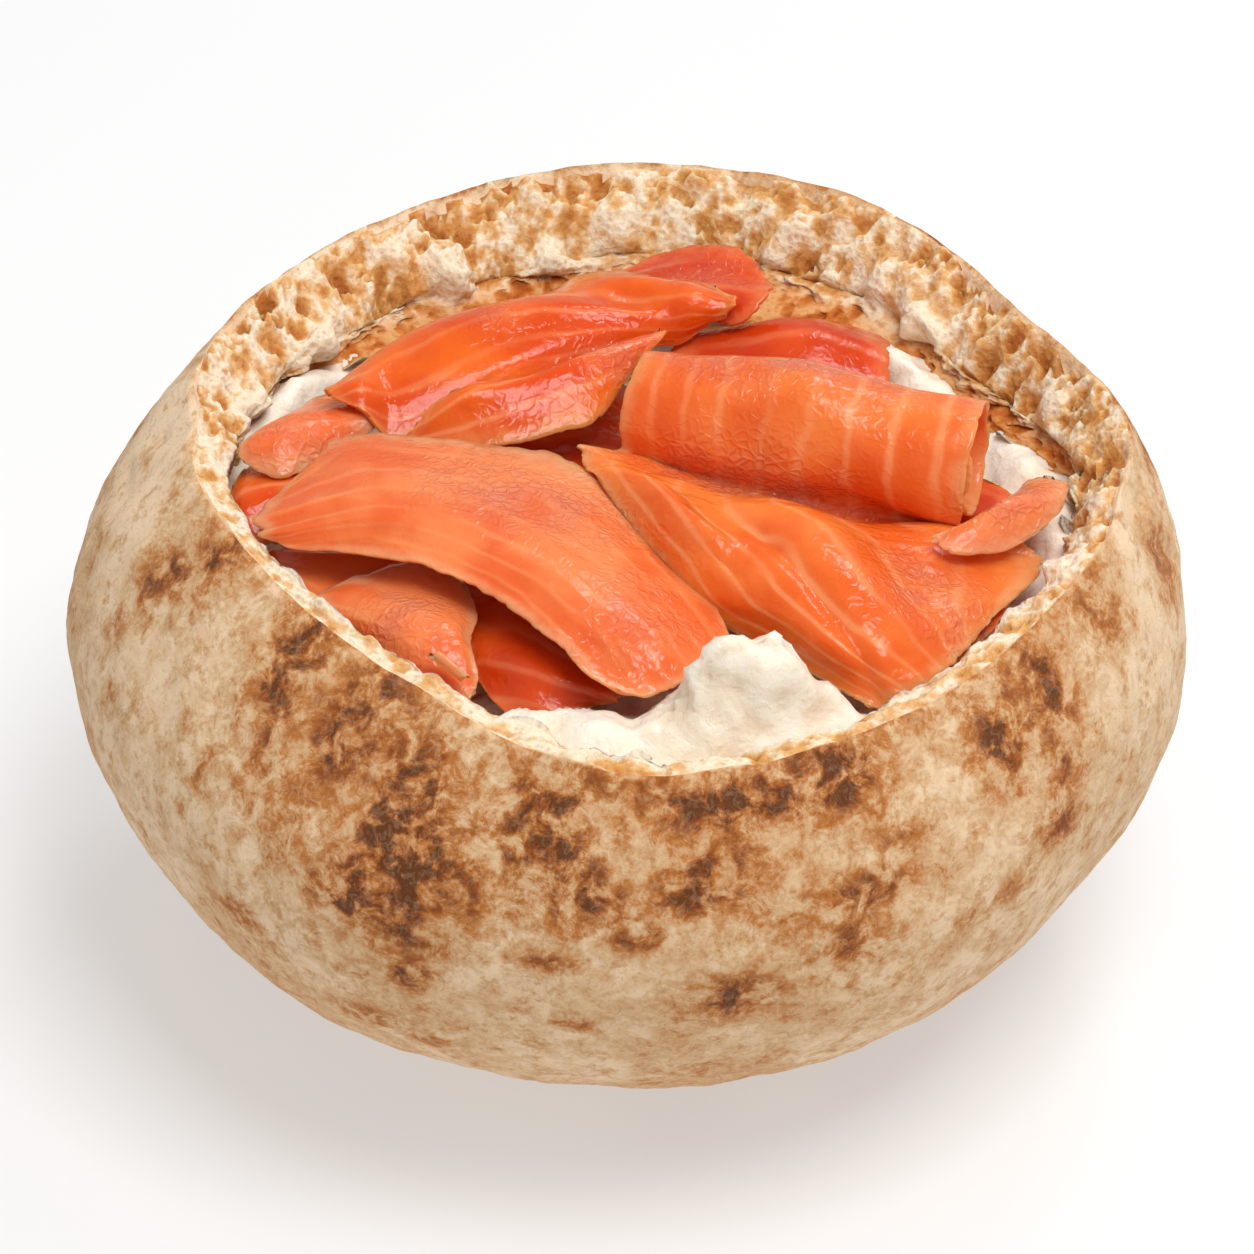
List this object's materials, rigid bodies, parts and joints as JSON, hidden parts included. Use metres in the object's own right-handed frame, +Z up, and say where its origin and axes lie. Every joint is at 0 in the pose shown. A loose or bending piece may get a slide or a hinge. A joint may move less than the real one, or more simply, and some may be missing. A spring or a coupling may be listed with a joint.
{
  "type": "stuffed pita bread",
  "caption": "Puffed round pita with its top torn open, filled with cream cheese and folded slices of smoked salmon, resting on a small flat spot.",
  "frame": {"origin": "middle of the flat spot that the bread rests on", "axes": "+Z up, +X from one side seam of the bread to the other, -Y towards the low lip of the opening"},
  "size_m": [0.1496, 0.1408, 0.0888],
  "materials": {
    "bread": "dry floury crust with toasted spots, and torn open crumb",
    "cream_cheese": "soft spread cheese, slightly moist",
    "salmon": "wet, translucent smoked salmon with pale fat lines"
  },
  "bodies": {
    "root": {"pita_bread": "bread", "cream_cheese": "cream_cheese", "salmon_base_front": "salmon", "salmon_base_right": "salmon", "salmon_base_middle": "salmon", "salmon_front_inner": "salmon", "salmon_front_outer": "salmon", "salmon_scrap": "salmon", "salmon_left_outer": "salmon", "salmon_left_inner": "salmon", "salmon_back_right": "salmon", "salmon_back_top": "salmon", "salmon_back_left": "salmon", "salmon_front_left": "salmon", "salmon_rolled": "salmon", "salmon_pleat": "salmon", "salmon_right_tip": "salmon"}
  },
  "joints": []
}
